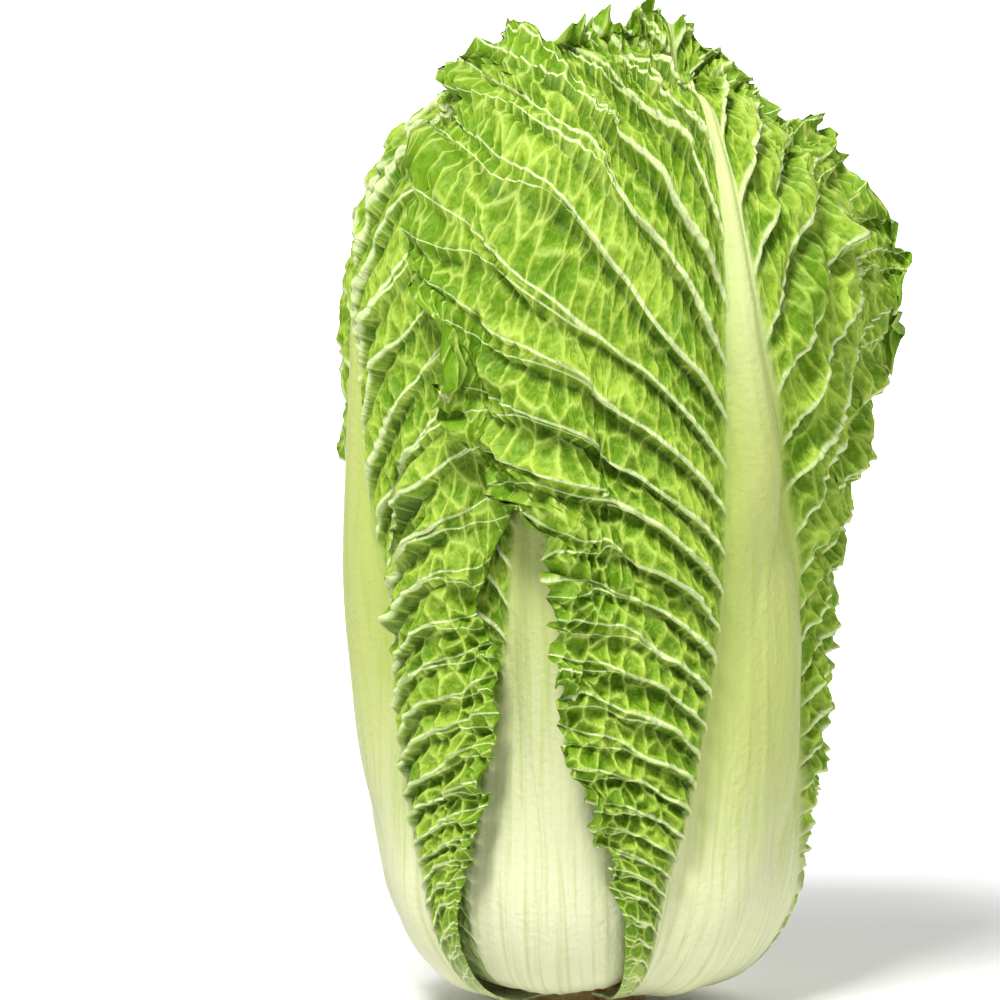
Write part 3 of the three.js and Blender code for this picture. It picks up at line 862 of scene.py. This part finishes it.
def stalk_colour(tree, climb, stripes):
    """Cream at the foot, greener up the stalk and at its sides, and pale again where it is a midrib."""
    stalk = mix(tree, ramp(tree, climb, 12, 95), STALK_FOOT, STALK_MIDDLE)
    to_side = ramp(tree, attribute(tree, "stalk_side"), 0.4, 1.05)
    to_side = maths(tree, "MULTIPLY", to_side, ramp(tree, climb, 50, 140))
    stalk = mix(tree, maths(tree, "MULTIPLY", to_side, 0.6), stalk, STALK_SIDE)
    stalk = mix(tree, ramp(tree, stripes, 0.46, 0.7, 0.0, 0.42), stalk, STALK_SIDE)
    return mix(tree, ramp(tree, climb, 165, 215, 0.0, 0.5), stalk, VEIN_PALE)


# %% Both in one material, with a shallow bump for what is too fine for the mesh


def leaf_material(name, paleness):
    material = bpy.data.materials.new(name)
    material.use_nodes = True
    tree = material.node_tree
    shader = tree.nodes["Principled BSDF"]
    place = tree.nodes.new("ShaderNodeTexCoord").outputs["Object"]
    plan_map = tree.nodes.new("ShaderNodeUVMap")
    plan_map.uv_map = "plan"
    plan = plan_map.outputs[0]
    rib = attribute(tree, "rib")
    along = attribute(tree, "along")
    climb = attribute(tree, "climb")

    net_place = net_coordinates(tree, plan)
    net = net_texture(tree, net_place)
    fine = maths(tree, "SUBTRACT", 1.0, ramp(tree, net_texture(tree, net_place, 2.7), 0.0, 0.22))
    pocket = ramp(tree, net, *POCKET_EDGE)
    patches = noise(tree, place, 60, 3.0)
    specks = noise(tree, place, 520, 3.0)
    patches_and_pocket_shade = maths(tree, "ADD", maths(tree, "MULTIPLY", patches, 0.6), maths(tree, "MULTIPLY", specks, 0.4))
    # Painted shade: each pocket of the net is made darker towards its middle.
    patches_and_pocket_shade = maths(tree, "ADD", patches_and_pocket_shade, maths(tree, "MULTIPLY", pocket, -0.12))
    drawn = maths(tree, "MULTIPLY", climb, 0.008)
    stripe_map = tree.nodes.new("ShaderNodeCombineXYZ")
    stripe_place = plug(tree, stripe_map, [(0, attribute(tree, "stripe")), (1, drawn)]).outputs[0]
    stripes = noise(tree, stripe_place, 3.4, 4.0)

    blade = blade_colour(tree, plan, along, patches_and_pocket_shade, net, fine)
    stalk = stalk_colour(tree, climb, stripes)
    pale_foot = maths(tree, "MAXIMUM", ramp(tree, rib, 0.1, 0.9), ramp(tree, climb, 30, 4, 0.0, 0.7))
    skin = mix(tree, pale_foot, blade, stalk)
    skin = mix(tree, paleness, skin, HEART_PALE)
    tree.links.new(skin, shader.inputs["Base Color"])

    ridge = maths(tree, "ADD", maths(tree, "MULTIPLY", pocket, -1.6), maths(tree, "MULTIPLY", fine, 0.5))
    ridge = maths(tree, "MULTIPLY", ridge, maths(tree, "SUBTRACT", 1.0, pale_foot))
    ridge = maths(tree, "ADD", ridge, maths(tree, "MULTIPLY", specks, 1.3))
    ridge = maths(tree, "MULTIPLY_ADD", stripes, rib, ridge)
    bump_size = [("Strength", 0.7), ("Distance", 0.5 * MM)]
    bump = node(tree, "ShaderNodeBump", inputs=bump_size, links=[("Height", ridge)])
    tree.links.new(bump.outputs[0], shader.inputs["Normal"])
    tree.links.new(ramp(tree, rib, 0.2, 0.9, 0.45, 0.36), shader.inputs["Roughness"])
    shader.inputs["Subsurface Weight"].default_value = 0.12
    shader.inputs["Subsurface Radius"].default_value = (0.6, 1.0, 0.2)
    shader.inputs["Subsurface Scale"].default_value = 0.9 * MM
    shader.inputs["Specular IOR Level"].default_value = 0.16
    return material


outer_skin = leaf_material("outer_leaf_skin", 0.0)
heart_skin = leaf_material("heart_leaf_skin", 0.5)
print("nodes in the leaf material:", len(outer_skin.node_tree.nodes))

# %% Making the outer leaves
# The leaves that show most get the finest grids.
GRIDS = [(10, 170), (9, 150), (8, 120), (8, 120), (8, 110), (6, 50), (6, 50), (6, 50)]
for leaf_index, (rows_per_vein, columns) in enumerate(GRIDS):
    piece = with_pockets(outer_leaf(leaf_index, rows_per_vein, columns))
    piece.data.materials.append(outer_skin)
    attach(piece, "root")
    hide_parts(f"outer_leaf_{leaf_index + 1}")
    print(piece.name, "triangles", sum(len(p.vertices) - 2 for p in piece.data.polygons))

# %% [markdown]
# ## The heart
# The inner leaves are packed too tight to be seen, except for the tips that close over the top. So the
# heart is a barrel with eight leaf tips folded over it, each over the next. Modelling forty hidden leaves
# would cost a lot and show nothing.

# %% The barrel, turned from an outline


def turned(name, outline, rings, segments, lean=0.0, rough=0.0):
    """A round solid. A ball's rings are moved onto the outline, from the bottom pole to the top one."""
    outline = np.array(outline, float)
    length = np.r_[0, np.cumsum(np.hypot(*np.diff(outline, axis=0).T))]
    bm = bmesh.new()
    bmesh.ops.create_uvsphere(bm, u_segments=segments, v_segments=rings, radius=1)
    bmesh.ops.recalc_face_normals(bm, faces=bm.faces[:])
    for v in bm.verts:
        share = 1 - math.acos(max(-1, min(1, v.co.z))) / math.pi
        angle = math.atan2(v.co.y, v.co.x)
        radius = np.interp(share * length[-1], length, outline[:, 0])
        height = np.interp(share * length[-1], length, outline[:, 1])
        radius *= 1 + rough * math.sin(7 * angle + 1) + rough * math.sin(11 * angle + height)
        shift = lean * float(smooth(height, *LEAN_HEIGHTS))
        v.co = Vector((radius * math.cos(angle) + shift, radius * math.sin(angle), height)) * MM
    mesh = bpy.data.meshes.new(name)
    bm.to_mesh(mesh)
    bm.free()
    mesh.shade_smooth()
    piece = bpy.data.objects.new(name, mesh)
    bpy.context.scene.collection.objects.link(piece)
    return piece


HEART_GAP = 2.2
HEART_FOOT = 18
HEART_TOP = [(55, 205), (44, 224), (32, 237), (18, 246), (0, 249)]
waist = [(r - HEART_GAP, z + HEART_GAP) for r, z in HEAD_PROFILE if HEART_FOOT < z < HEART_TOP[0][1] - 10]
barrel = turned("heart_body", [(0, HEART_FOOT), (28, HEART_FOOT), *waist, *HEART_TOP], 40, 48, HEAD_LEAN)
for name, value in (("rib", 0.3), ("along", 0.4), ("climb", 150), ("gap", 10), ("fork", 0.5)):
    write(barrel.data, name, np.full(len(barrel.data.vertices), value))
barrel.data.materials.append(heart_skin)

# %% The leaf tips that close the top
HEART_LEAVES = 8
HEART_LEAF_LAYER = 1.3
HEART_LEAF_REACH = 96
HEART_LEAF_HALF_WIDTH = 52
FIRST_HEART_LEAF = -100
LEAF_TURN = -137.5
HEART_VEINS = 26
HEART_VEIN_CLIMB = 10
heart_leaf_path = profile([(57, 196), (54, 222), (45, 240), (31, 253), (13, 262), (-8, 263)])


def heart_leaf(index, rows=56, columns=56):
    row, column = np.meshgrid(np.linspace(0, 1, rows + 1), np.linspace(-1, 1, columns + 1), indexing="ij")
    angle = np.radians(FIRST_HEART_LEAF + LEAF_TURN * index)
    uneven = 0.05 * wobble(row * 4, 9 * np.sign(column), index + 20)
    outline = np.sqrt(np.maximum(0.05, 1 - row**4)) * (1 + uneven)
    rim = np.maximum(np.abs(column), row)
    y = HEART_LEAF_REACH * row * (1 - 0.1 * column**2) + 2.5 * row * wobble(column * 3, 0 * row, index + 21)
    radius, height, out_r, out_z = heart_leaf_path(y)
    lift = -(HEART_LEAVES - 1 - index) * HEART_LEAF_LAYER
    arc = column * HEART_LEAF_HALF_WIDTH * outline
    reached = np.maximum(radius + out_r * lift, TIGHTEST_WRAP)
    base = round_the_axis(angle, arc / reached, radius + out_r * lift, height + out_z * lift, HEAD_LEAN)
    normal = sheet_normals(base)
    number = HEART_VEINS * row - HEART_VEIN_CLIMB * np.abs(column) ** 0.8
    p = number - np.floor(number)
    along = np.abs(column)
    frill = 2.4 * smooth(rim, 0.5, 1) * (0.5 + 0.5 * wobble(row * 5, column * 5, index + 22))
    fold = 0.7 * step_profile(p) * smooth(along, 0.05, 0.3)
    vein = 0.5 * np.exp(-((np.minimum(p, 1 - p) / 0.12) ** 2)) * smooth(along, 0.02, 0.1)
    rib = np.exp(-((column / 0.07) ** 2)) * (1 - row)
    inner = frill + fold
    outer = inner + 0.9 + 1.6 * rib + vein
    mesh = closed_sheet(f"heart_leaf_{index + 1}", rows, columns)
    flat = np.full_like(row, 1.0)
    # The heart's tips get the same painted shadow under each vein.
    values = {
        "rib": rib, "along": along, "gap": 4 * flat, "fork": 0 * flat, "stripe": column * 2,
        "climb": 200 * flat, "stalk_side": flat, "shadow_under_vein": 0.5 * shadow_under_vein(p) * along,
        "relief": 0.5 * smooth(along, 0.1, 0.3),
    }
    plan = np.stack([along * HEART_LEAF_HALF_WIDTH, number + 10 * index + 40], axis=-1)
    fill_sheet(mesh, base, normal, inner, outer, plan, values)
    return mesh


heart_pieces = [barrel]
for leaf_index in range(HEART_LEAVES):
    heart_tip = with_pockets(heart_leaf(leaf_index))
    heart_tip.data.materials.append(heart_skin)
    heart_pieces.append(heart_tip)
for piece in heart_pieces:
    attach(piece, "root")
    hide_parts("heart")
print("heart pieces", len(heart_pieces))

# %% [markdown]
# ## The cut stem
# The stub was cut with a knife and has dried since. Its face is flat, beige brown, with the rings of
# leaf bases round a fibrous middle, and the marks have turned a reddish brown.

# %% The stub
STEM_RADIUS = 18
STEM_HEIGHT = 13
STEM_OUTLINE = [(0, 0), (STEM_RADIUS - 1.5, 0), (STEM_RADIUS - 0.4, 0.5), (STEM_RADIUS, 1.6),
                (STEM_RADIUS - 0.6, STEM_HEIGHT / 2), (STEM_RADIUS, STEM_HEIGHT - 1),
                (STEM_RADIUS - 1, STEM_HEIGHT), (0, STEM_HEIGHT)]
stub = turned("stub", STEM_OUTLINE, 60, 96, rough=0.012)


def stem_material():
    material = bpy.data.materials.new("cut_stem_skin")
    material.use_nodes = True
    tree = material.node_tree
    shader = tree.nodes["Principled BSDF"]
    place = tree.nodes.new("ShaderNodeTexCoord").outputs["Object"]
    grain = noise(tree, place, 260, 4.0)
    marks = noise(tree, place, 110, 2.0)
    rings = [("Scale", 95.0), ("Distortion", 5.0)]
    waves = node(tree, "ShaderNodeTexWave", inputs=rings, links=[("Vector", place)])
    waves.wave_type = "RINGS"
    waves.rings_direction = "Z"
    skin = mix(tree, ramp(tree, grain, 0.35, 0.65), colour(186, 152, 92), colour(214, 186, 128))
    skin = mix(tree, maths(tree, "MULTIPLY", waves.outputs["Fac"], 0.35), skin, colour(160, 118, 62))
    skin = mix(tree, ramp(tree, marks, 0.56, 0.66, 0.0, 0.8), skin, colour(138, 74, 34))
    tree.links.new(skin, shader.inputs["Base Color"])
    height = maths(tree, "ADD", grain, maths(tree, "MULTIPLY", waves.outputs["Fac"], 0.5))
    bump_size = [("Strength", 0.8), ("Distance", 0.6 * MM)]
    bump = node(tree, "ShaderNodeBump", inputs=bump_size, links=[("Height", height)])
    tree.links.new(bump.outputs[0], shader.inputs["Normal"])
    shader.inputs["Roughness"].default_value = 0.75
    return material


stub.data.materials.append(stem_material())
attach(stub, "root")
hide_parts("cut_stem")
print(stub.name, "faces", len(stub.data.polygons))

# %% [markdown]
# ## The floor, the light and the camera
# A pale floor that curves up into the background keeps the eye on the head. Big soft lights suit a
# crinkled leaf: the main one hangs high in front, so each vein throws a soft shadow under itself.

# %% Floor and background
FLOOR_SIZE = 6.0


def sweep():
    bm = bmesh.new()
    bmesh.ops.create_grid(bm, x_segments=1, y_segments=48, size=FLOOR_SIZE / 2)
    for v in bm.verts:
        back = max(0.0, v.co.y - 1.0)
        v.co.z = 0.35 * back**2
    mesh = bpy.data.meshes.new("studio_sweep")
    bm.to_mesh(mesh)
    bm.free()
    mesh.shade_smooth()
    floor = bpy.data.objects.new("studio_sweep", mesh)
    bpy.context.scene.collection.objects.link(floor)
    paper = bpy.data.materials.new("studio_paper")
    paper.use_nodes = True
    paper.node_tree.nodes["Principled BSDF"].inputs["Base Color"].default_value = (0.9, 0.9, 0.89, 1)
    paper.node_tree.nodes["Principled BSDF"].inputs["Roughness"].default_value = 0.8
    mesh.materials.append(paper)


sweep()
print("the floor is", FLOOR_SIZE, "m across")

# %% Lights
HEAD_MIDDLE = Vector((0, 0, 0.15))


def soft_light(name, place, size, power, target=HEAD_MIDDLE):
    lamp = bpy.data.objects.new(name, bpy.data.lights.new(name, "AREA"))
    lamp.data.size = size
    lamp.data.energy = power
    lamp.location = place
    lamp.rotation_euler = (target - Vector(place)).to_track_quat("-Z", "Y").to_euler()
    bpy.context.scene.collection.objects.link(lamp)


soft_light("main_light", (-0.4, -0.95, 1.3), 0.4, 26)
soft_light("right_fill", (1.2, -0.8, 0.7), 0.8, 5)
soft_light("back_light", (0.3, 1.2, 1.2), 0.8, 8)
soft_light("backdrop_light", (0, 1.0, 1.5), 1.0, 60, Vector((0, 2.6, 0.6)))
world = bpy.context.scene.world or bpy.data.worlds.new("studio")
bpy.context.scene.world = world
world.use_nodes = True
world.node_tree.nodes["Background"].inputs["Color"].default_value = (1, 1, 1, 1)
world.node_tree.nodes["Background"].inputs["Strength"].default_value = 0.24
print("lights:", len(bpy.data.lights))

# %% Camera
# The photo is taken level, from half the head's height, with the head right of the middle.
CAMERA_DISTANCE = 0.9
CAMERA_HEIGHT = 0.15
PHOTO_SIZE = 1000
PHOTO_MM_PER_PIXEL = 0.3
HEAD_PIXEL = 586
SENSOR = 36
camera = bpy.data.objects.new("camera", bpy.data.cameras.new("camera"))
camera.data.sensor_width = SENSOR
camera.data.lens = SENSOR * CAMERA_DISTANCE / (PHOTO_SIZE * PHOTO_MM_PER_PIXEL * MM)
aside = (PHOTO_SIZE / 2 - HEAD_PIXEL) * PHOTO_MM_PER_PIXEL * MM
camera.location = (aside, -CAMERA_DISTANCE, CAMERA_HEIGHT)
camera.rotation_euler = (math.pi / 2, 0, 0)
bpy.context.scene.collection.objects.link(camera)
bpy.context.scene.camera = camera
bpy.context.scene.view_settings.view_transform = "Standard"
print("lens", round(camera.data.lens, 1), "mm")
